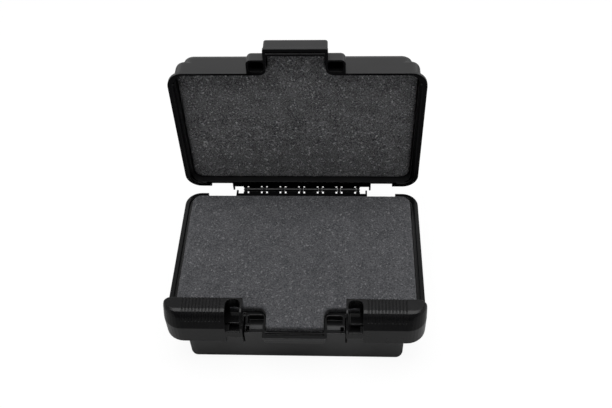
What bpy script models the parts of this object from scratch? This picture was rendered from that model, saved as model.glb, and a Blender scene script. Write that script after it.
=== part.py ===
"""Foam-lined hard case: a moulded base and lid on a pinned hinge, two sliding
latches at the front corners and a foam block in each half.

Shapes are drawn in rim space: X to the right, Y to the back, Z up from the
plane where the two rims meet, with the middle of the rim at the origin. The
base stands that space on its rim height. The lid hangs it on the hinge axis,
turned open.
"""

from math import atan2, cos, pi, radians, sin, tan

import bmesh
import bpy
from mathutils import Matrix, Vector

# The whole case
case_width = 0.270
rim_depth = 0.1674
base_height = 0.0495
lid_height = 0.0336
open_angle = radians(91)
rim_gap = 0.0004
seat_gap = 0.0003
cut_over = 0.003
weld = 0.000001
place_digits = 7

# Rim, walls and the seal channel
rim_radius = 0.0175
flange_thickness = 0.0035
flange_width = 0.0045
channel_width = 0.0025
channel_depth = 0.0024
ridge_height = 0.0019
ridge_gap = 0.00035
side_wall = 0.0018
lid_back_inset = 0.0046
lid_back_wall = 0.0026
front_wall = 0.0025
floor_thickness = 0.0025
lid_skin = 0.0022
base_foot_radius = 0.0050
lid_crown_radius = 0.0070
lid_shoulder = 0.0232
lid_shoulder_radius = 0.0050
lid_panel_inset = 0.0068
lid_panel_radius = 0.0120
base_rim_end = 0.0255
lid_rim_end = 0.0292
channel_front = 0.0132
channel_stop = 0.0012

# Tongue at the middle of the front, which serves as the grip
tongue_width = 0.0660
tongue_reach = 0.0306
tongue_wall = 0.0028
tongue_depth = 0.0110
tongue_height = 0.0165
tongue_skin = 0.0020
tongue_step = 0.0015
lid_tongue_step = 0.0005
tongue_radius = 0.0025
tongue_root_radius = 0.0085

# Front bar of the base, under the latches
bar_inset = 0.02225
bar_reach = 0.0230
bar_radius = 0.0080
bar_top_drop = 0.0010
bar_wall = 0.0024
bar_divider_gap = 0.0035
slot_width = 0.0018
slot_depth = 0.0180

# Lugs beside the tongue, which the latches grip
lid_lug_width = 0.0178
base_lug_width = 0.0184
lug_reach = 0.0170
lug_height = 0.0146
lug_wall = 0.0022
lug_radius = 0.0055
lug_crown_radius = 0.0035
pocket_depth = 0.0080
lug_gap = 0.0004
base_lug_drop = 0.0140
base_lug_curve = 0.0090
base_pocket_reach = 0.0125
notch_width = 0.0032
notch_wall = 0.0012
notch_back = 0.0158
notch_front = 0.0214
notch_depth = 0.0080

# Rail that carries each latch
rail_latch_inset = 0.0045
rail_back = 0.0030
rail_front = 0.0162
rail_web_front = 0.0125
rail_top = 0.0064
rail_thickness = 0.0022
rail_end_inset = 0.0015

# Sliding latch, shown open
latch_lug_space = 0.0011
latch_end_inset = 0.0010
latch_back = 0.0012
latch_front = 0.0285
latch_top = 0.0300
latch_drop = 0.0090
latch_waist = 0.0140
latch_brow_reach = 0.0199
latch_edge_radius = 0.0090
latch_end_share = 0.35
latch_wall = 0.0024
latch_corner_radius = 0.0200
latch_brow_radius = 0.0190
latch_heel_radius = 0.0050
latch_end_wall = 0.0020
latch_jaw_top = 0.0153
latch_mouth_width = 0.0145
latch_back_foot = 0.0070
latch_back_corner = 0.0035
latch_lip_back = 0.0130
latch_lip_gap = 0.0003
latch_window_width = 0.0152
latch_window_back = 0.0028
latch_window_sill = 0.0080
latch_window_radius = 0.0060
latch_toe_rise = 0.0082
latch_grooves = 12
latch_groove_inset = 0.0216
latch_groove_drop = 0.0090
latch_groove_pitch = 0.00345
latch_groove_width = 0.0012
latch_groove_depth = 0.0008

# Hinge
axis_behind_rim = 0.0058
pin_radius = 0.0010
pin_clearance = 0.0003
knuckle_radius = 0.0023
knuckle_pitch = 0.0220
short_knuckles = 7
short_knuckle = 0.0037
knuckle_gap = 0.0003
leaf_margin = 0.00065
leaf_thickness = 0.0016
leaf_lift = 0.0003
leaf_edge_gap = 0.0004
leaf_root = 0.0010
leaf_window_width = 0.0019
leaf_window_depth = 0.0030
base_shelf_reach = 0.0072
lid_shelf_reach = 0.0055
tab_width = 0.0019
base_tab_gap = 0.0074
lid_tab_gap = 0.0116
base_tab_drop = 0.0040
base_tab_reach = 0.0004
lid_tab_reach = 0.0012

# Foam blocks
foam_fit = 0.0003
base_foam_proud = 0.0070
lid_foam_recess = 0.0076

# Places that follow from the sizes above
half_width = case_width / 2
back = rim_depth / 2
front = -back
wall_inset = flange_width + channel_width
cavity_inset = wall_inset + side_wall
axis_y = back + axis_behind_rim
tongue_half = tongue_width / 2
lid_lug_end = tongue_half + lid_lug_width
base_lug_end = tongue_half + base_lug_width
lid_back_inner = lid_back_inset + lid_back_wall
base_rim_gap_half = half_width - base_rim_end
lid_rim_gap_half = half_width - lid_rim_end
bar_half = half_width - bar_inset
latch_bottom = -latch_drop
latch_start = base_lug_end + latch_lug_space
latch_end = half_width - latch_end_inset
latch_mouth_end = latch_start + latch_mouth_width
latch_window_start = latch_start + latch_end_wall
latch_window_end = latch_window_start + latch_window_width
latch_slope = atan2(latch_top - latch_waist, latch_front - latch_brow_reach)
latch_shoulder = latch_brow_reach + latch_edge_radius * (1 - tan(latch_slope / 2))
latch_groove_foot = latch_brow_reach + latch_groove_drop / tan(latch_slope)
rail_start = latch_start + rail_latch_inset
outer_knuckle = short_knuckles // 2
leaf_half = outer_knuckle * knuckle_pitch + short_knuckle / 2 + leaf_margin
base_tab_place = leaf_half + base_tab_gap
lid_tab_place = leaf_half + lid_tab_gap
outer_round = 8
box_round = 7
inner_round = 5


def start_scene():
    """Remove what the scene holds, and make the two collections."""
    for old in list(bpy.data.objects):
        bpy.data.objects.remove(old, do_unlink=True)
    groups = []
    for name in ("foam_lined_hard_case", "cutters"):
        group = bpy.data.collections.new(name)
        bpy.context.scene.collection.children.link(group)
        groups.append(group)
    return groups


parts, cutters = start_scene()


def snap(value):
    """A place rounded to a tenth of a micron, so that faces meant to align share a plane."""
    return round(value, place_digits)


def rounded(corners, steps=outer_round):
    """An outline from (x, y, radius) corners, each turned into an arc."""
    outline = []
    for index, (x, y, radius) in enumerate(corners):
        here = Vector((x, y))
        if radius == 0:
            outline.append(here)
            continue
        before = (Vector(corners[index - 1][:2]) - here).normalized()
        after = (Vector(corners[(index + 1) % len(corners)][:2]) - here).normalized()
        half = before.angle(after) / 2
        centre = here + (before + after).normalized() * (radius / sin(half))
        first = (here + before * (radius / tan(half)) - centre).normalized()
        last = (here + after * (radius / tan(half)) - centre).normalized()
        side = (last - first * first.dot(last)).normalized()
        for step in range(steps + 1):
            turn = (pi - 2 * half) * step / steps
            outline.append(centre + (first * cos(turn) + side * sin(turn)) * radius)
    return [(snap(x), snap(y)) for x, y in outline]


def rectangle(x_low, x_high, y_low, y_high, radius=0, steps=outer_round):
    corners = ((x_low, y_low), (x_high, y_low), (x_high, y_high), (x_low, y_high))
    return rounded([(x, y, radius) for x, y in corners], steps)


def quarter(radius, steps=4):
    """Inset and rise of each step of a rounded edge."""
    turns = [pi / 2 * step / steps for step in range(steps + 1)]
    pairs = zip(turns, turns[1:])
    return [(radius * (cos(a) - cos(b)), radius * (sin(b) - sin(a))) for a, b in pairs]


def crown(mesh, edges, up):
    """Round the edge of a flat end by insetting its face step by step."""
    for inset, rise in edges:
        mesh.faces.ensure_lookup_table()
        level = max(face.calc_center_median().z * up for face in mesh.faces)
        ends = [
            face for face in mesh.faces
            if face.normal.z * up > 0.99 and face.calc_center_median().z * up > level - rim_gap
        ]
        bmesh.ops.inset_region(mesh, faces=ends, thickness=inset, use_even_offset=True)
        for vert in {vert for face in ends for vert in face.verts}:
            vert.co.z = snap(up * (level + rise))
        mesh.normal_update()


def place(name, data, cutter):
    """Put a mesh in the scene as a part or as a cutter."""
    thing = bpy.data.objects.new(name, data)
    (cutters if cutter else parts).objects.link(thing)
    if cutter:
        thing.hide_render = True
        thing.display_type = "WIRE"
    return thing


def solid(name, outline, low, high, top=(), foot=(), lie=None, cutter=True):
    """A flat outline raised from low to high, with rounded ends where given."""
    low += sum(rise for _, rise in foot)
    high -= sum(rise for _, rise in top)
    curve = bpy.data.curves.new(name, "CURVE")
    curve.dimensions = "2D"
    curve.fill_mode = "BOTH"
    curve.extrude = (high - low) / 2
    spline = curve.splines.new("POLY")
    spline.points.add(len(outline) - 1)
    for point, (x, y) in zip(spline.points, outline):
        point.co = (x, y, 0, 1)
    spline.use_cyclic_u = True
    guide = bpy.data.objects.new(name, curve)
    cutters.objects.link(guide)
    evaluated = guide.evaluated_get(bpy.context.evaluated_depsgraph_get())
    data = bpy.data.meshes.new_from_object(evaluated)
    bpy.data.objects.remove(guide)
    bpy.data.curves.remove(curve)

    mesh = bmesh.new()
    mesh.from_mesh(data)
    for vert in mesh.verts:
        vert.co.z = snap(high if vert.co.z > 0 else low)
    bmesh.ops.remove_doubles(mesh, verts=mesh.verts, dist=weld)
    bmesh.ops.recalc_face_normals(mesh, faces=mesh.faces)
    for up in (-1, 1):
        caps = [face for face in mesh.faces if face.normal.z * up > 0.99]
        bmesh.ops.dissolve_faces(mesh, faces=caps)
    crown(mesh, top, 1)
    crown(mesh, foot, -1)
    if lie is not None:
        mesh.transform(lie)
    mesh.to_mesh(data)
    mesh.free()
    data.name = name
    return place(name, data, cutter)


def hull(name, levels, cutter=True):
    """The convex solid through outlines stacked at their heights."""
    data = bpy.data.meshes.new(name)
    mesh = bmesh.new()
    for outline, height in levels:
        for x, y in outline:
            mesh.verts.new((x, y, snap(height)))
    bmesh.ops.convex_hull(mesh, input=mesh.verts)
    inner = [vert for vert in mesh.verts if not vert.link_faces]
    bmesh.ops.delete(mesh, geom=inner, context="VERTS")
    bmesh.ops.dissolve_limit(
        mesh, angle_limit=radians(0.5), verts=mesh.verts, edges=mesh.edges
    )
    bmesh.ops.recalc_face_normals(mesh, faces=mesh.faces)
    mesh.to_mesh(data)
    mesh.free()
    return place(name, data, cutter)


# A section drawn as (Y, Z) and raised along X
along_x = Matrix(((0, 0, 1, 0), (1, 0, 0, 0), (0, 1, 0, 0), (0, 0, 0, 1)))


def bar(name, section, x_low, x_high, cutter=True):
    """A section in Y and Z, drawn out from one place along X to another."""
    return solid(name, section, min(x_low, x_high), max(x_low, x_high),
                 lie=along_x, cutter=cutter)


def box(name, x_low, x_high, y_low, y_high, z_low, z_high):
    xs, ys = sorted((x_low, x_high)), sorted((y_low, y_high))
    return solid(name, rectangle(*xs, *ys), z_low, z_high)


def rod(name, radius, x_low, x_high, sides=20, cutter=True):
    """A round bar on the hinge axis."""
    ring = [
        (axis_y + radius * cos(2 * pi * turn / sides), radius * sin(2 * pi * turn / sides))
        for turn in range(sides)
    ]
    return bar(name, ring, x_low, x_high, cutter)


changes = []


def combine(body, tool, operation):
    """Note a Boolean step. The tool lies in the frame of the body that it shapes."""
    tool.parent = body
    changes.append((body, tool, operation))


def apply_changes():
    """Shape each piece by its Boolean steps in their order, and remove the cutters."""
    for body, tool, operation in changes:
        change = body.modifiers.new(tool.name, "BOOLEAN")
        change.operation = operation
        change.solver = "EXACT"
        change.use_self = True
        change.object = tool
    graph = bpy.context.evaluated_depsgraph_get()
    pieces = list(parts.objects)
    shaped = [bpy.data.meshes.new_from_object(piece.evaluated_get(graph)) for piece in pieces]
    for piece, data in zip(pieces, shaped):
        piece.modifiers.clear()
        piece.data = data
        data.name = piece.name
    for tool in list(cutters.objects):
        bpy.data.objects.remove(tool)
    bpy.data.collections.remove(cutters)


def add(body, tool):
    combine(body, tool, "UNION")


def cut(body, tool):
    combine(body, tool, "DIFFERENCE")


def finish(thing, holder, location, colour, roughness, metallic=0.0):
    """Put a piece in its place, and give it its material and its smooth shading."""
    thing.parent = holder
    thing.location = location
    skin = bpy.data.materials.new(thing.name)
    skin.use_nodes = True
    shader = skin.node_tree.nodes["Principled BSDF"]
    shader.inputs["Base Color"].default_value = (*colour, 1)
    shader.inputs["Roughness"].default_value = roughness
    shader.inputs["Metallic"].default_value = metallic
    thing.data.materials.clear()
    thing.data.materials.append(skin)
    thing.data.shade_smooth()
    thing.data.set_sharp_from_angle(angle=radians(30))


def rim_ring(name, outer_inset, inner_inset, low, high, short=0):
    """The strip along both sides and round the back corners, cut short at its ends."""
    rings = []
    for label, inset in ((name, outer_inset), (name + "_core", inner_inset)):
        shape = rectangle(
            -half_width + inset, half_width - inset, front + inset, back - inset,
            rim_radius - inset,
        )
        extra = 0 if label == name else cut_over
        rings.append(solid(label, shape, low - extra, high + extra))
    cut(rings[0], rings[1])
    far = case_width
    middle = base_rim_gap_half + channel_stop + short
    cut(rings[0], box(name + "_middle", -middle, middle, -far, far,
                      low - cut_over, high + cut_over))
    cut(rings[0], box(name + "_front", -far, far, -far, front + channel_front + short,
                      low - cut_over, high + cut_over))
    return rings[0]


def rim_outline():
    """The outside of the rim flange in plan, with the tongue at the middle of its front."""
    tip = front - tongue_reach
    return rounded([
        (half_width, front, rim_radius), (half_width, back, rim_radius),
        (-half_width, back, rim_radius), (-half_width, front, rim_radius),
        (-tongue_half, front, 0), (-tongue_half, tip, tongue_radius),
        (tongue_half, tip, tongue_radius), (tongue_half, front, 0),
    ])


def box_outline(back_inset):
    """The outside of the main box in plan."""
    return rectangle(-half_width + wall_inset, half_width - wall_inset, front,
                     back - back_inset, rim_radius - wall_inset, box_round)


def panel_outline(inset=0):
    """The raised panel on top of the lid in plan, flush with the lid's front wall."""
    side = half_width - wall_inset - lid_panel_inset - inset
    return rectangle(-side, side, front + inset, back - lid_back_inset - lid_panel_inset - inset,
                     lid_panel_radius - inset, box_round)


def cavity_outline(back_inset, fit=0):
    """The inside of the main box in plan, drawn in by a fit."""
    inset = cavity_inset + fit
    return rectangle(
        -half_width + inset, half_width - inset, front + front_wall + fit,
        back - back_inset - fit, rim_radius - wall_inset - fit, inner_round,
    )


def tongue_outline(fit=0):
    """The inside of the tongue in plan, run back into the main box."""
    side = tongue_half - tongue_wall - fit
    tip = front - tongue_reach + cavity_inset + fit
    root = front + front_wall + tongue_root_radius
    flare = tongue_root_radius - fit
    return rounded([
        (-side, tip, tongue_radius), (side, tip, tongue_radius),
        (side, front + front_wall + fit, flare), (side + flare, front + front_wall + fit, 0),
        (side + flare, root, 0), (-side - flare, root, 0),
        (-side - flare, front + front_wall + fit, 0), (-side, front + front_wall + fit, flare),
    ], inner_round)


def leaf_parts(name, side, wall_back, shelf_reach, shelf_half, x_ranges):
    """A hinge leaf on one side of the rim plane with its shelf and arms, and its barrels."""
    low, high = sorted((side * leaf_lift, side * (leaf_lift + leaf_thickness)))
    wall_y = wall_back - leaf_root
    edge_y = axis_y - knuckle_radius - leaf_edge_gap
    plates = [
        box(name + "_leaf", -leaf_half, leaf_half, wall_y, edge_y, low, high),
        box(name + "_shelf", -shelf_half, shelf_half, wall_y, wall_back + shelf_reach, low, high),
    ]
    barrels = []
    for number, (x_low, x_high) in enumerate(x_ranges):
        tag = f"{name}_{number}"
        plates.append(box(tag + "_arm", x_low, x_high, wall_y, axis_y, low, high))
        barrels.append(rod(tag + "_barrel", knuckle_radius, x_low, x_high))
    return plates, barrels


def leaf_windows(body, name, side):
    """Notches in a leaf beside each end of the short knuckles."""
    low, high = sorted((0, side * (leaf_lift + leaf_thickness + cut_over)))
    near = axis_y - knuckle_radius
    for number in range(-outer_knuckle, outer_knuckle + 1):
        for hand in (-1, 1):
            edge = number * knuckle_pitch + hand * (short_knuckle / 2 + knuckle_gap)
            if abs(edge) > outer_knuckle * knuckle_pitch:
                continue
            far = edge + hand * leaf_window_width
            tag = f"{name}_window_{number + outer_knuckle}_{hand}"
            cut(body, box(tag, edge, far, near - leaf_window_depth, near, low, high))


short_ranges = [
    (number * knuckle_pitch - short_knuckle / 2, number * knuckle_pitch + short_knuckle / 2)
    for number in range(-outer_knuckle, outer_knuckle + 1)
]
long_ranges = [
    (low + knuckle_gap, high - knuckle_gap)
    for (_, low), (high, _) in zip(short_ranges, short_ranges[1:])
]


def make_base():
    """The base: box, rim flange, tongue, front bar, lugs, rails and hinge leaf."""
    base = solid("base_shell", box_outline(wall_inset), -base_height, -flange_thickness / 2,
                 foot=quarter(base_foot_radius), cutter=False)
    add(base, solid("base_flange", rim_outline(), -flange_thickness, 0))
    bar_shape = rectangle(-bar_half, bar_half, front - bar_reach, 0, bar_radius)
    add(base, solid("front_bar", bar_shape, -base_height, -bar_top_drop,
                    foot=quarter(base_foot_radius)))
    tip = front - tongue_reach
    inner = tongue_half - tongue_step
    add(base, solid("tongue_tray", rectangle(-inner, inner, tip + tongue_step, 0, tongue_radius),
                    -tongue_depth, -flange_thickness / 2, foot=quarter(tongue_step)))
    for hand in (-1, 1):
        section = rounded([
            (0, -base_lug_drop, 0), (front - bar_reach, -base_lug_drop, 0),
            (front - bar_reach, 0, base_lug_curve), (0, 0, 0),
        ])
        add(base, bar(f"base_lug_{hand}", section, hand * (tongue_half - tongue_wall / 2),
                      hand * base_lug_end))
        web_drop = -bar_top_drop - bar_wall
        rail = [
            (front - rail_back, web_drop), (front - rail_web_front, web_drop),
            (front - rail_web_front, rail_top - rail_thickness),
            (front - rail_front, rail_top - rail_thickness),
            (front - rail_front, rail_top), (front - rail_back, rail_top),
        ]
        add(base, bar(f"rail_{hand}", rail, hand * rail_start,
                      hand * (bar_half - rail_end_inset - bar_wall)))

    far = case_width
    wall_back = back - wall_inset
    cut(base, box("hinge_gap", -base_rim_gap_half, base_rim_gap_half, wall_back, far,
                  -flange_thickness - cut_over, cut_over))
    cut(base, solid("base_cavity", cavity_outline(cavity_inset),
                    floor_thickness - base_height, cut_over,
                    foot=quarter(base_foot_radius - floor_thickness, 2)))
    cut(base, solid("tongue_cavity", tongue_outline(), tongue_skin - tongue_depth, cut_over))
    cut(base, rim_ring("channel", flange_width, wall_inset, -channel_depth, cut_over))
    channel_y = tip + flange_width
    cut(base, box("tongue_channel", -tongue_half + tongue_wall, tongue_half - tongue_wall,
                  channel_y, channel_y + channel_width, -channel_depth, cut_over))
    pocket_start = tongue_half + lug_wall - tongue_wall
    hollow_front = front - bar_reach + bar_wall
    deep = -base_height - cut_over
    middle = base_lug_end - lug_wall
    cut(base, box("bar_hollow_middle", -middle, middle, hollow_front, front, deep,
                  -tongue_depth))
    for hand in (-1, 1):
        xs = sorted((hand * pocket_start, hand * (base_lug_end - lug_wall)))
        pocket = rectangle(*xs, front - base_pocket_reach, front - lug_wall, lug_wall,
                           inner_round)
        cut(base, solid(f"base_pocket_{hand}", pocket, -pocket_depth, cut_over))
        notch_end = base_lug_end - notch_wall
        cut(base, box(f"base_notch_{hand}", hand * (notch_end - notch_width), hand * notch_end,
                      front - notch_front, front - notch_back, -notch_depth, cut_over))
        divider = base_lug_end + bar_divider_gap
        cut(base, box(f"bar_hollow_{hand}", hand * (divider + bar_wall),
                      hand * (bar_half - bar_wall), hollow_front, front, deep,
                      -bar_top_drop - bar_wall))
        slot_start = base_lug_end + lug_gap
        cut(base, box(f"bar_slot_{hand}", hand * slot_start, hand * (slot_start + slot_width),
                      front - bar_reach - cut_over, front - rail_back, -slot_depth, cut_over))

    plates, barrels = leaf_parts("base", -1, wall_back, base_shelf_reach, base_tab_place,
                                 short_ranges)
    for plate in plates:
        add(base, plate)
    leaf_windows(base, "base", -1)
    for barrel in barrels:
        add(base, barrel)
    for hand in (-1, 1):
        place = hand * base_tab_place
        add(base, box(f"base_tab_{hand}", place - tab_width / 2, place + tab_width / 2,
                      wall_back - leaf_root, axis_y + base_tab_reach, -base_tab_drop,
                      -leaf_lift))
    cut(base, rod("base_bore", pin_radius + pin_clearance, -case_width, case_width))
    return base


def make_lid():
    """The lid: shallow box, rim flange and ridge, tongue, lugs and hinge leaf."""
    rim_middle = rim_gap + flange_thickness / 2
    rim_top = rim_gap + flange_thickness
    lid = solid("lid_shell", box_outline(lid_back_inset), rim_middle, lid_shoulder,
                top=quarter(lid_shoulder_radius), cutter=False)
    add(lid, solid("lid_panel", panel_outline(), rim_middle, lid_height,
                   top=quarter(lid_crown_radius)))
    add(lid, solid("lid_flange", rim_outline(), rim_gap, rim_top))
    tip = front - tongue_reach
    inner = tongue_half - lid_tongue_step
    block = rectangle(-inner, inner, tip + lid_tongue_step, 0, tongue_radius)
    add(lid, solid("lid_tongue", block, rim_middle, tongue_height,
                   top=quarter(lid_tongue_step)))
    for hand in (-1, 1):
        xs = sorted((hand * (tongue_half - tongue_wall - lug_radius), hand * lid_lug_end))
        lug = rectangle(*xs, front - lug_reach, 0, lug_radius)
        add(lid, solid(f"lid_lug_{hand}", lug, rim_gap, lug_height,
                       top=quarter(lug_crown_radius, 3)))
    far = case_width
    wall_back = back - lid_back_inset
    cut(lid, box("lid_hinge_gap", -lid_rim_gap_half, lid_rim_gap_half, wall_back, far,
                 -cut_over, rim_top + cut_over))
    ridge_outer = flange_width + ridge_gap
    ridge_inner = wall_inset - ridge_gap
    add(lid, rim_ring("ridge", ridge_outer, ridge_inner, rim_gap - ridge_height, rim_middle,
                      ridge_gap))
    cut(lid, solid("lid_cavity", cavity_outline(lid_back_inner), -cut_over,
                   lid_shoulder - lid_skin, top=quarter(lid_shoulder_radius - lid_skin, 3)))
    cut(lid, solid("lid_panel_cavity", panel_outline(front_wall), -cut_over,
                   lid_height - lid_skin, top=quarter(lid_crown_radius - lid_skin)))
    cut(lid, solid("lid_tongue_cavity", tongue_outline(), -cut_over,
                   tongue_height - tongue_skin))
    pocket_start = tongue_half + lug_wall - tongue_wall
    for hand in (-1, 1):
        xs = sorted((hand * pocket_start, hand * (lid_lug_end - lug_wall)))
        pocket = rectangle(*xs, front - lug_reach + lug_wall, front - lug_wall,
                           lug_radius - lug_wall, inner_round)
        cut(lid, solid(f"lid_pocket_{hand}", pocket, -cut_over, lug_height - lug_wall))

    side = tongue_half - tongue_wall - ridge_gap
    add(lid, box("tongue_ridge", -side, side, tip + ridge_outer, tip + ridge_inner,
                 rim_gap - ridge_height, rim_middle))

    plates, barrels = leaf_parts("lid", 1, wall_back, lid_shelf_reach, lid_tab_place,
                                 long_ranges)
    for plate in plates:
        add(lid, plate)
    leaf_windows(lid, "lid", 1)
    for barrel in barrels:
        add(lid, barrel)
    for hand in (-1, 1):
        place = hand * lid_tab_place
        add(lid, box(f"lid_tab_{hand}", place - tab_width / 2, place + tab_width / 2,
                     wall_back - leaf_root, axis_y + lid_tab_reach, leaf_lift + rim_gap,
                     rim_top))
    cut(lid, rod("lid_bore", pin_radius + pin_clearance, -case_width, case_width))
    return lid


def latch_skin(inset):
    """The grooved stretch of the latch's skin in Y and Z, over the brow to its back edge."""
    rise = latch_top - inset
    foot = front - latch_groove_foot + inset
    brow = front - latch_brow_reach + inset
    edge = rounded([
        (foot, latch_top - latch_groove_drop, 0), (brow, rise, latch_edge_radius - inset),
        (front, rise, 0),
    ], inner_round)
    return edge


def latch_plan(hand, reach, corner, inset, heel):
    """The latch in plan: square at its inner end, rounded at both outer corners."""
    end = hand * (latch_end - inset)
    start = hand * (latch_start - cut_over)
    heel_y = front - latch_back - heel
    return rounded([
        (start, front - reach, 0), (end, front - reach, corner),
        (end, heel_y, latch_heel_radius), (start, heel_y, 0),
    ])


def latch_hull(name, hand, wall, low, cutter):
    """The latch's envelope, drawn in by a wall: upright foot, sloped brow, round edge."""
    foot = latch_plan(hand, latch_front - wall, latch_corner_radius - wall, wall, wall)
    levels = [(foot, low), (foot, latch_waist)]
    edge = latch_edge_radius - wall
    inset, height = 0, latch_top - wall - edge
    for step_inset, rise in [(0, 0)] + quarter(edge):
        inset += step_inset
        height += rise
        brow = latch_plan(hand, latch_shoulder - wall - inset,
                          latch_brow_radius - wall - inset, wall + inset * latch_end_share,
                          wall)
        levels.append((brow, height))
    return hull(name, levels, cutter)


def make_latch(name, hand):
    """A latch: a hollow shell, closed and rounded at its outer end, open below."""
    latch = latch_hull(name, hand, 0, latch_bottom, False)
    below = latch_bottom - cut_over
    above = latch_top + cut_over
    nose = latch_start - cut_over
    cheek = latch_start + latch_end_wall
    far = case_width
    cut(latch, box(name + "_nose", 0, hand * latch_start, -far, far, below, above))
    inside = latch_hull(name + "_inside", hand, latch_wall, below, True)
    cut(inside, box(name + "_inside_nose", 0, hand * cheek, -far, far, below - cut_over, above))
    cut(latch, inside)
    jaw_y = front - lug_reach - seat_gap
    cut(latch, box(name + "_jaw", hand * nose, hand * (cheek + cut_over), jaw_y, back, below,
                   latch_jaw_top))
    heel_y = front - latch_back - latch_wall - cut_over
    cut(latch, box(name + "_mouth", hand * nose, hand * latch_mouth_end, heel_y, back, below,
                   latch_jaw_top))
    cut(latch, box(name + "_back_foot", hand * nose, hand * (latch_end - latch_back_corner),
                   heel_y, back, below, latch_back_foot))
    cut(latch, box(name + "_toe", hand * nose, hand * latch_window_end, -far, back, below,
                   latch_bottom + latch_toe_rise))
    cut(latch, box(name + "_front_foot", hand * nose, hand * (cheek + cut_over),
                   front - latch_front + latch_wall, back, below, latch_window_sill))
    window_x = sorted((hand * latch_window_start, hand * latch_window_end))
    opening = rectangle(*window_x, front - latch_front - latch_window_radius - cut_over,
                        front - latch_window_back, latch_window_radius, inner_round)
    cut(latch, solid(name + "_window", opening, latch_window_sill, above))
    lip_low = latch_bottom + latch_toe_rise + latch_lip_gap + rim_gap
    lip_high = rail_top - rail_thickness - latch_lip_gap
    add(latch, box(name + "_lip", hand * latch_mouth_end,
                   hand * (latch_end - latch_corner_radius - latch_wall),
                   front - latch_front + latch_wall / 2, front - latch_lip_back, lip_low,
                   lip_high))
    section = latch_skin(latch_groove_depth) + latch_skin(-cut_over)[::-1]
    for number in range(latch_grooves):
        start = latch_start + latch_groove_inset + number * latch_groove_pitch
        cut(latch, bar(f"{name}_groove_{number}", section, hand * start,
                       hand * (start + latch_groove_width)))
    return latch


def make_foam(name, back_inset, low, tongue_low, high, tongue_high, top=(), foot=()):
    """A foam block cut to the shape of the cavity that it fills."""
    foam = solid(name, cavity_outline(back_inset, foam_fit), low, high, top, foot, cutter=False)
    add(foam, solid(name + "_tongue", tongue_outline(foam_fit), tongue_low, tongue_high))
    return foam


def empty(name, location):
    """The empty that carries a moving piece."""
    holder = bpy.data.objects.new(name, None)
    parts.objects.link(holder)
    holder.location = location
    return holder


base = make_base()
lid = make_lid()
base_foam = make_foam(
    "base_foam", cavity_inset, floor_thickness - base_height + foam_fit,
    tongue_skin - tongue_depth + foam_fit, base_foam_proud, base_foam_proud,
    foot=quarter(base_foot_radius - floor_thickness, 2),
)
lid_foam = make_foam(
    "lid_foam", lid_back_inner, lid_foam_recess, lid_foam_recess,
    lid_shoulder - lid_skin - foam_fit, tongue_height - tongue_skin - foam_fit,
    top=quarter(lid_shoulder_radius - lid_skin, 3),
)
add(lid_foam, solid("lid_foam_panel", panel_outline(front_wall + foam_fit), lid_shoulder / 2,
                    lid_height - lid_skin - foam_fit, top=quarter(lid_crown_radius - lid_skin)))
pin = rod("hinge_pin", pin_radius, -leaf_half, leaf_half, 16, cutter=False)
left_latch = make_latch("left_latch", -1)
right_latch = make_latch("right_latch", 1)
apply_changes()

base_place = (0, 0, base_height)
lid_place = (0, -axis_y, 0)
lid_hinge = empty("lid_hinge", (0, axis_y, base_height))
lid_hinge.rotation_euler.x = -open_angle
left_slide = empty("left_latch_slide", base_place)
right_slide = empty("right_latch_slide", base_place)

finish(base, None, base_place, (0.010, 0.010, 0.0105), 0.36)
finish(lid, lid_hinge, lid_place, (0.010, 0.010, 0.0105), 0.36)
finish(base_foam, None, base_place, (0.082, 0.084, 0.090), 0.95)
finish(lid_foam, lid_hinge, lid_place, (0.060, 0.061, 0.066), 0.95)
finish(pin, None, base_place, (0.45, 0.45, 0.46), 0.3, 1.0)
finish(left_latch, left_slide, (0, 0, 0), (0.011, 0.011, 0.0115), 0.32)
finish(right_latch, right_slide, (0, 0, 0), (0.011, 0.011, 0.0115), 0.32)
bpy.context.view_layer.update()
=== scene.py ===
"""Looks of the foam-lined hard case: moulded plastic, cut foam, a white floor and
soft overhead light, seen from above the front edge.
"""

from math import cos, pi, radians, sin

import bmesh
import bpy
from mathutils import Matrix, Vector


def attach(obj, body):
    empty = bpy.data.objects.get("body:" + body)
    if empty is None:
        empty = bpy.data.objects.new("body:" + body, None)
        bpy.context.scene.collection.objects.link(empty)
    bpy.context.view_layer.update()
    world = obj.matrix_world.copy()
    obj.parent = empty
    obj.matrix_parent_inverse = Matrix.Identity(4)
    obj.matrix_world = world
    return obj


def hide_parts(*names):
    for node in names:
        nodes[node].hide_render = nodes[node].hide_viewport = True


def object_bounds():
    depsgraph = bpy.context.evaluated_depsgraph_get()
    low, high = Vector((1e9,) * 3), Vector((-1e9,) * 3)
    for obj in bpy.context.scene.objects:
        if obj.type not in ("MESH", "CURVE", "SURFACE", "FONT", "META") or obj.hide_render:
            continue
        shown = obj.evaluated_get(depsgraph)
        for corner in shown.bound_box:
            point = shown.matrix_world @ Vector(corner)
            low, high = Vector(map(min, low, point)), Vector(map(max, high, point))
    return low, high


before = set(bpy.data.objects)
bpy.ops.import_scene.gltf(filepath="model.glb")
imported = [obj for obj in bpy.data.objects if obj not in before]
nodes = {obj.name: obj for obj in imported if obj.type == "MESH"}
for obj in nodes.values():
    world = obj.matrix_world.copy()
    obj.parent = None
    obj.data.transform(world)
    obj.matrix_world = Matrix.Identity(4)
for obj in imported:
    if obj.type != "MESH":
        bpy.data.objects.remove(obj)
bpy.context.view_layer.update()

mm = 0.001


# Base shell
# One black moulding with a fine spark-eroded grain. Its edges are a little rounded and
# rubbed smooth, and broad smudges vary its sheen.
def set_sockets(tree, node, sockets):
    """Give each named socket a value, or a link from another socket."""
    for name, value in sockets.items():
        if isinstance(value, bpy.types.NodeSocket):
            tree.links.new(value, node.inputs[name])
        else:
            node.inputs[name].default_value = value


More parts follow.
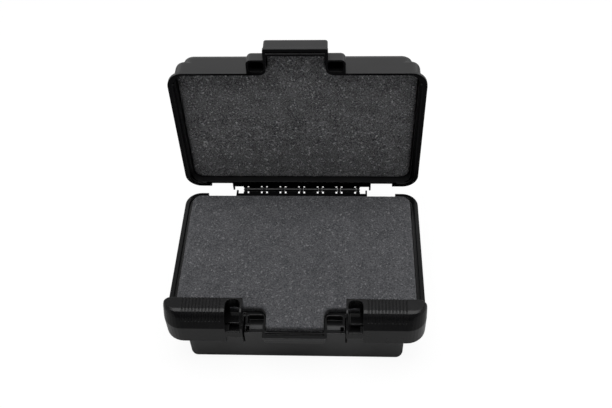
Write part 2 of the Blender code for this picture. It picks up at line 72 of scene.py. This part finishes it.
def add_node(tree, kind, sockets=None, **settings):
    """A node with its settings and sockets."""
    node = tree.nodes.new(kind)
    for name, value in settings.items():
        setattr(node, name, value)
    set_sockets(tree, node, sockets or {})
    return node


def new_group(name, inputs, outputs):
    """A node group with named sockets, its input node and its output node."""
    group = bpy.data.node_groups.new(name, "ShaderNodeTree")
    for socket, (kind, value) in inputs.items():
        made = group.interface.new_socket(socket, in_out="INPUT", socket_type=kind)
        made.default_value = value
    for socket, kind in outputs.items():
        group.interface.new_socket(socket, in_out="OUTPUT", socket_type=kind)
    given = add_node(group, "NodeGroupInput")
    return group, given.outputs, add_node(group, "NodeGroupOutput")


def new_material(name):
    """A material, its node tree and its shader."""
    material = bpy.data.materials.new(name)
    material.use_nodes = True
    tree = material.node_tree
    return material, tree, tree.nodes["Principled BSDF"]


def ramp(tree, value, low, high, to_low=0.0, to_high=1.0):
    """A value mapped smoothly from one range to another."""
    return add_node(tree, "ShaderNodeMapRange", {
        "Value": value, "From Min": low, "From Max": high,
        "To Min": to_low, "To Max": to_high,
    }, interpolation_type="SMOOTHSTEP").outputs["Result"]


def calculate(tree, operation, first, second=0.0):
    return add_node(tree, "ShaderNodeMath", {0: first, 1: second},
                    operation=operation).outputs[0]


def alignment(tree, first, second):
    """How far two directions agree: 1 where they are the same."""
    return add_node(tree, "ShaderNodeVectorMath", {0: first, 1: second},
                    operation="DOT_PRODUCT").outputs["Value"]


def mix_values(tree, share, first, second):
    return add_node(tree, "ShaderNodeMix", {
        "Factor": share, "A": first, "B": second,
    }).outputs["Result"]


def mix_colours(tree, share, first, second):
    """A mix of two colours, each a triple or a socket."""
    first, second = [
        colour if isinstance(colour, bpy.types.NodeSocket) else (*colour, 1)
        for colour in (first, second)
    ]
    return add_node(tree, "ShaderNodeMix", {
        "Factor": share, "A": first, "B": second,
    }, data_type="RGBA").outputs["Result"]


def noise(tree, place, size, detail=2.0, rough=0.5):
    """Cloudy noise on Object coordinates, with features of about the given size."""
    return add_node(tree, "ShaderNodeTexNoise", {
        "Vector": place, "Scale": 1 / size, "Detail": detail, "Roughness": rough,
    }).outputs["Fac"]


wave_height = 3.0


def moulded_surface():
    """The surface of a moulding: rounded edges, grain, worn edges and smudges.

    Its lands are the faces that meet the other half, polished flat in the tool, and its
    shoulders are the duller curves that lead down from them.
    """
    group, given, result = new_group("moulded_surface", {
        "Edge radius": ("NodeSocketFloat", 0.5 * mm),
        "Grain depth": ("NodeSocketFloat", 0.012 * mm),
        "Land direction": ("NodeSocketVector", (0, 0, 1)),
    }, {
        "Normal": "NodeSocketVector", "Wear": "NodeSocketFloat",
        "Smudge": "NodeSocketFloat", "Dust": "NodeSocketFloat",
        "Land": "NodeSocketFloat", "Shoulder": "NodeSocketFloat",
    })
    own_frame = add_node(group, "ShaderNodeTexCoord").outputs
    place = own_frame["Object"]
    facing = alignment(group, own_frame["Normal"], given["Land direction"])
    rounded = add_node(group, "ShaderNodeBevel", {"Radius": given["Edge radius"]},
                       samples=6).outputs["Normal"]
    fine = noise(group, place, 0.45 * mm, detail=3.0, rough=0.6)
    waves = noise(group, place, 22 * mm, detail=1.0)
    height = calculate(group, "ADD", fine,
                       calculate(group, "MULTIPLY", waves, wave_height))
    grain = add_node(group, "ShaderNodeBump", {
        "Height": height, "Distance": given["Grain depth"], "Normal": rounded,
    }).outputs["Normal"]
    flat = add_node(group, "ShaderNodeNewGeometry").outputs["Normal"]
    edge = ramp(group, alignment(group, rounded, flat), low=0.995, high=0.8)
    rubbing = noise(group, place, 5 * mm, detail=4.0, rough=0.65)
    broken = ramp(group, rubbing, low=0.42, high=0.68)
    fluff = noise(group, place, 1.6 * mm, detail=2.0, rough=0.7)
    specks = ramp(group, fluff, low=0.66, high=0.8)
    patches = noise(group, place, 34 * mm, detail=3.0)
    set_sockets(group, result, {
        "Normal": grain,
        "Wear": calculate(group, "MULTIPLY", edge, broken),
        "Smudge": patches,
        "Dust": calculate(group, "MULTIPLY", specks, patches),
        "Land": ramp(group, facing, low=0.996, high=0.9995),
        "Shoulder": ramp(group, facing, low=0.6, high=0.85),
    })
    return group


moulded = moulded_surface()
shoulder_dullness = 0.65
dust_colour = (0.16, 0.16, 0.165)
dust_cover = 0.10
wear_polish = 0.08
land_roughness = 0.14


def plastic(name, colour, worn_colour, sheen, edge_radius, grain_depth, land, gloss,
            land_dullness):
    """Black moulded plastic. Sheen is its roughness where clean and where smudged.

    Where the surface is dull it takes its reflection from its own black, which is weaker
    than a gloss.
    """
    material, tree, shader = new_material(name)
    surface = add_node(tree, "ShaderNodeGroup", {
        "Edge radius": edge_radius, "Grain depth": grain_depth, "Land direction": land,
    }, node_tree=moulded).outputs
    shoulder = calculate(tree, "MULTIPLY", surface["Shoulder"], shoulder_dullness)
    rubbed = mix_colours(tree, surface["Wear"], colour, worn_colour)
    dust = calculate(tree, "MULTIPLY", surface["Dust"], dust_cover)
    roughness = ramp(tree, surface["Smudge"], 0.3, 0.7, *sheen)
    smoothed = calculate(tree, "SUBTRACT", roughness,
                         calculate(tree, "MULTIPLY", surface["Wear"], wear_polish))
    set_sockets(tree, shader, {
        "Base Color": mix_colours(tree, dust, rubbed, dust_colour),
        "Metallic": mix_values(tree, surface["Land"], shoulder, land_dullness),
        "Roughness": mix_values(tree, surface["Land"], smoothed, land_roughness),
        "IOR": 1.5,
        "Specular IOR Level": gloss,
        "Normal": surface["Normal"],
    })
    return material


def dress(name, material):
    """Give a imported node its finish."""
    node = nodes[name]
    node.data.materials.clear()
    node.data.materials.append(material)


black = (0.0075, 0.0075, 0.0080)
rubbed_black = (0.013, 0.013, 0.014)
base_plastic = plastic("base_plastic", black, rubbed_black, sheen=(0.30, 0.38),
                       edge_radius=0.9 * mm, grain_depth=0.012 * mm, land=(0, 0, 1),
                       gloss=0.55, land_dullness=0.28)
dress("base_shell", base_plastic)


# Lid shell
# The same plastic from another tool, with crisper edges and a duller rim. The rim faces
# forwards, because the case stands open.
lid_plastic = plastic("lid_plastic", black, rubbed_black, sheen=(0.31, 0.40),
                      edge_radius=0.6 * mm, grain_depth=0.012 * mm, land=(0, -1, 0),
                      gloss=0.45, land_dullness=1.0)
dress("lid_shell", lid_plastic)


# Latches
# Two hollow mouldings that slide along the front corners, blacker and smoother than the
# shells, with a finer grain and softer edges. Their flat undersides are polished.
latch_black = (0.0055, 0.0055, 0.0060)
rubbed_latch = (0.014, 0.014, 0.015)
latch_plastic = plastic("latch_plastic", latch_black, rubbed_latch, sheen=(0.24, 0.31),
                        edge_radius=1.0 * mm, grain_depth=0.008 * mm, land=(0, 0, -1),
                        gloss=0.26, land_dullness=0.0)
for latch in ("left_latch", "right_latch"):
    dress(latch, latch_plastic)


# Hinge pin
# Drawn steel wire that runs through all the hinge's barrels. Its drawing marks lie along
# its length, and it has a few dull stains.
clean_steel = (0.42, 0.42, 0.43)
stained_steel = (0.24, 0.22, 0.20)
mark_stretch = 50


def drawn_steel():
    material, tree, shader = new_material("pin_steel")
    place = add_node(tree, "ShaderNodeTexCoord").outputs["Object"]
    drawn = add_node(tree, "ShaderNodeMapping", {
        "Vector": place, "Scale": (1 / mark_stretch, 1, 1),
    }).outputs["Vector"]
    marks = noise(tree, drawn, 0.12 * mm, detail=3.0)
    stains = noise(tree, place, 4 * mm, detail=4.0, rough=0.6)
    stained = ramp(tree, stains, low=0.4, high=0.75)
    bump = add_node(tree, "ShaderNodeBump", {"Height": marks, "Distance": 0.01 * mm})
    set_sockets(tree, shader, {
        "Base Color": mix_colours(tree, stained, clean_steel, stained_steel),
        "Metallic": 1.0,
        "Roughness": ramp(tree, stains, 0.3, 0.7, to_low=0.28, to_high=0.5),
        "Normal": bump.outputs["Normal"],
    })
    return material


dress("hinge_pin", drawn_steel())


# Base foam
# A block of open-cell foam cut to the cavity, proud of the rim. Its cut edges are soft,
# its top is slightly uneven, and fine bright specks are painted into its colour as painted
# highlights where cell walls would catch the light.
pore_depth = 0.55
blotch_share = 0.15
fibres_per_cell = 1.3
glints_per_cell = 0.9


def foam_cells():
    """Open cells: pores between thin cell walls, and bright specks of single walls, which
    are painted highlights.
    """
    group, given, result = new_group("foam_cells", {
        "Cell size": ("NodeSocketFloat", 1.0 * mm),
        "Specks": ("NodeSocketFloat", 0.5),
    }, {
        "Shade": "NodeSocketFloat", "Glint": "NodeSocketFloat",
        "Height": "NodeSocketFloat",
    })
    place = add_node(group, "ShaderNodeTexCoord").outputs["Object"]
    scale = calculate(group, "DIVIDE", 1.0, given["Cell size"])
    walls = add_node(group, "ShaderNodeTexVoronoi", {
        "Vector": place, "Scale": scale, "Randomness": 1.0,
    }, feature="DISTANCE_TO_EDGE").outputs["Distance"]
    fibres = add_node(group, "ShaderNodeTexNoise", {
        "Vector": place, "Scale": calculate(group, "MULTIPLY", scale, fibres_per_cell),
        "Detail": 5.0, "Roughness": 0.75,
    }).outputs["Fac"]
    pores = ramp(group, walls, low=0.02, high=0.30)
    blotches = noise(group, place, 16 * mm, detail=3.0, rough=0.6)
    single = add_node(group, "ShaderNodeTexNoise", {
        "Vector": place, "Scale": calculate(group, "MULTIPLY", scale, glints_per_cell),
        "Detail": 1.0, "Roughness": 0.4, "Distortion": 0.6,
    }).outputs["Fac"]
    glints = ramp(group, single, low=0.60, high=0.76)
    set_sockets(group, result, {
        "Shade": calculate(group, "ADD",
                           calculate(group, "MULTIPLY", fibres, 1 - blotch_share),
                           calculate(group, "MULTIPLY", blotches, blotch_share)),
        "Glint": calculate(group, "MULTIPLY", glints, given["Specks"]),
        "Height": calculate(group, "SUBTRACT", fibres,
                            calculate(group, "MULTIPLY", pores, pore_depth)),
    })
    return group


open_cells = foam_cells()


def foam(name, dark, light, glint, cell_size, specks, depth):
    """Open-cell foam, dull, with a fine nap that lightens it at a grazing angle."""
    material, tree, shader = new_material(name)
    surface = add_node(tree, "ShaderNodeGroup", {
        "Cell size": cell_size, "Specks": specks,
    }, node_tree=open_cells).outputs
    body = mix_colours(tree, ramp(tree, surface["Shade"], low=0.36, high=0.64),
                       dark, light)
    bump = add_node(tree, "ShaderNodeBump", {
        "Height": surface["Height"], "Distance": depth,
    })
    set_sockets(tree, shader, {
        # The glint specks are painted highlights, mixed into the base colour.
        "Base Color": mix_colours(tree, surface["Glint"], body, glint),
        "Roughness": ramp(tree, surface["Shade"], 0.3, 0.7, to_low=0.95, to_high=0.8),
        "Specular IOR Level": 0.15,
        "Sheen Weight": 0.08,
        "Sheen Roughness": 0.6,
        "Normal": bump.outputs["Normal"],
    })
    return material


def add_object(name, data):
    made = bpy.data.objects.new(name, data)
    bpy.context.scene.collection.objects.link(made)
    return made


def foam_block(name, node, body, material):
    """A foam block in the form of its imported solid, with soft cut edges."""
    shape = bmesh.new()
    shape.from_mesh(nodes[node].data)
    bmesh.ops.remove_doubles(shape, verts=shape.verts, dist=0.001 * mm)
    mesh = bpy.data.meshes.new(name)
    shape.to_mesh(mesh)
    shape.free()
    mesh.materials.clear()
    mesh.materials.append(material)
    block = add_object(name, mesh)
    cut = block.modifiers.new("cut_surface", "REMESH")
    cut.mode = "VOXEL"
    cut.voxel_size = 1.8 * mm
    cut.use_smooth_shade = True
    soft = block.modifiers.new("soft_edges", "SMOOTH")
    soft.factor = 0.5
    soft.iterations = 4
    lumps = bpy.data.textures.new(name + "_lumps", "CLOUDS")
    lumps.noise_scale = 6 * mm
    lumps.noise_depth = 2
    rise = block.modifiers.new("uneven_surface", "DISPLACE")
    rise.texture = lumps
    rise.strength = 0.45 * mm
    rise.mid_level = 0.6
    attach(block, body)
    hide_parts(node)


base_foam = foam("base_foam", dark=(0.034, 0.035, 0.039), light=(0.127, 0.128, 0.136),
                 glint=(0.26, 0.26, 0.27), cell_size=2.0 * mm, specks=0.7,
                 depth=0.45 * mm)
foam_block("base_foam_block", "base_foam", "base", base_foam)


# Lid foam
# The same foam, set back from the rim. Its colours are painted much brighter than the base
# foam's, with brighter cell walls and more bright specks, as painted light on this upright
# face that the softbox lights less; its pores are darker.
# Painted light: these colours are lifted well above the base foam's, in place of the light
# that the upright lid face lacks.
lid_foam = foam("lid_foam", dark=(0.016, 0.0165, 0.0185), light=(0.285, 0.287, 0.296),
                glint=(0.62, 0.62, 0.63), cell_size=1.9 * mm, specks=1.0,
                depth=0.6 * mm)
foam_block("lid_foam_block", "lid_foam", "lid", lid_foam)


# Floor
# A pale matt sheet that runs on to the horizon. The camera sees it lifted to white, with
# only a light shadow, and glossy surfaces see it as it is lit.
floor_reach = 60.0
floor_gap = 0.2 * mm
floor_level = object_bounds()[0].z - floor_gap
lift_strength = 1.13
lift_share = 0.82


def pale_floor():
    material, tree, shader = new_material("floor")
    tree.nodes.remove(shader)
    place = add_node(tree, "ShaderNodeTexCoord").outputs["Object"]
    clouds = noise(tree, place, size=0.3)
    tone = ramp(tree, clouds, 0.3, 0.7, to_low=0.58, to_high=0.62)
    matt = add_node(tree, "ShaderNodeBsdfDiffuse", {"Color": tone})
    lift = add_node(tree, "ShaderNodeEmission", {
        "Color": (1, 1, 1, 1), "Strength": lift_strength,
    })
    seen = add_node(tree, "ShaderNodeLightPath").outputs["Is Camera Ray"]
    mix = add_node(tree, "ShaderNodeMixShader", {
        0: calculate(tree, "MULTIPLY", seen, lift_share),
        1: matt.outputs[0],
        2: lift.outputs[0],
    })
    set_sockets(tree, tree.nodes["Material Output"], {"Surface": mix.outputs[0]})
    return material


sheet = bmesh.new()
bmesh.ops.create_grid(sheet, x_segments=1, y_segments=1, size=floor_reach / 2,
                      matrix=Matrix.Translation((0, 0, floor_level)))
floor_mesh = bpy.data.meshes.new("floor")
sheet.to_mesh(floor_mesh)
sheet.free()
floor_mesh.materials.append(pale_floor())
floor = add_object("floor", floor_mesh)


# Light
# A large softbox hangs over the case and faces down. The studio behind the case and
# beside it is pale, and the side that the camera stands on is dark.
softbox_width, softbox_depth = 1.1, 0.9
softbox_radiance = 3.7
softbox = bpy.data.lights.new("softbox", "AREA")
softbox.shape = "RECTANGLE"
softbox.size = softbox_width
softbox.size_y = softbox_depth
softbox.energy = softbox_radiance * pi * softbox_width * softbox_depth
add_object("softbox", softbox).location = (0, 0.02, 1.3)

studio = bpy.data.worlds.new("studio")
studio.use_nodes = True
bpy.context.scene.world = studio
tree = studio.node_tree
direction = add_node(tree, "ShaderNodeTexCoord").outputs["Generated"]
along = add_node(tree, "ShaderNodeSeparateXYZ", {0: direction}).outputs
to_the_side = calculate(tree, "ABSOLUTE", along["X"])
walls = ramp(tree, along["Y"], -0.2, 0.15, to_high=0.16)
backdrop = ramp(tree, along["Y"], 0.5, 0.8, to_high=0.85)
sides = ramp(tree, to_the_side, 0.45, 0.85, to_high=0.6)
glow = calculate(tree, "ADD", calculate(tree, "ADD", walls, sides), backdrop)
seen = add_node(tree, "ShaderNodeLightPath").outputs["Is Camera Ray"]
set_sockets(tree, tree.nodes["Background"], {
    "Color": (1, 1, 1, 1),
    "Strength": calculate(tree, "MAXIMUM", glow, seen),
})


# Camera
# It stands in front of the case and looks down on it at about 49 degrees, a little to
# the right and slightly rolled. Its place is measured from the back of the base's rim.
image_width = 612
focal_pixels = 800
rim_back = Vector((0, 83.7 * mm, 49.5 * mm))
stand = rim_back + Vector((48.39 * mm, -625.57 * mm, 700.75 * mm))
yaw, pitch, roll = radians(-4.0), radians(48.93), radians(2.71)

forward = Vector((sin(yaw) * cos(pitch), cos(yaw) * cos(pitch), -sin(pitch)))
level = Vector((cos(yaw), -sin(yaw), 0))
down = forward.cross(level)
across = cos(roll) * level + sin(roll) * down
drop = -sin(roll) * level + cos(roll) * down

lens = bpy.data.cameras.new("camera")
lens.sensor_width = 36
lens.lens = focal_pixels / image_width * lens.sensor_width
camera = add_object("camera", lens)
camera.matrix_world = Matrix((across, -drop, -forward)).transposed().to_4x4()
camera.location = stand
bpy.context.scene.camera = camera
bpy.context.scene.view_settings.view_transform = "Standard"
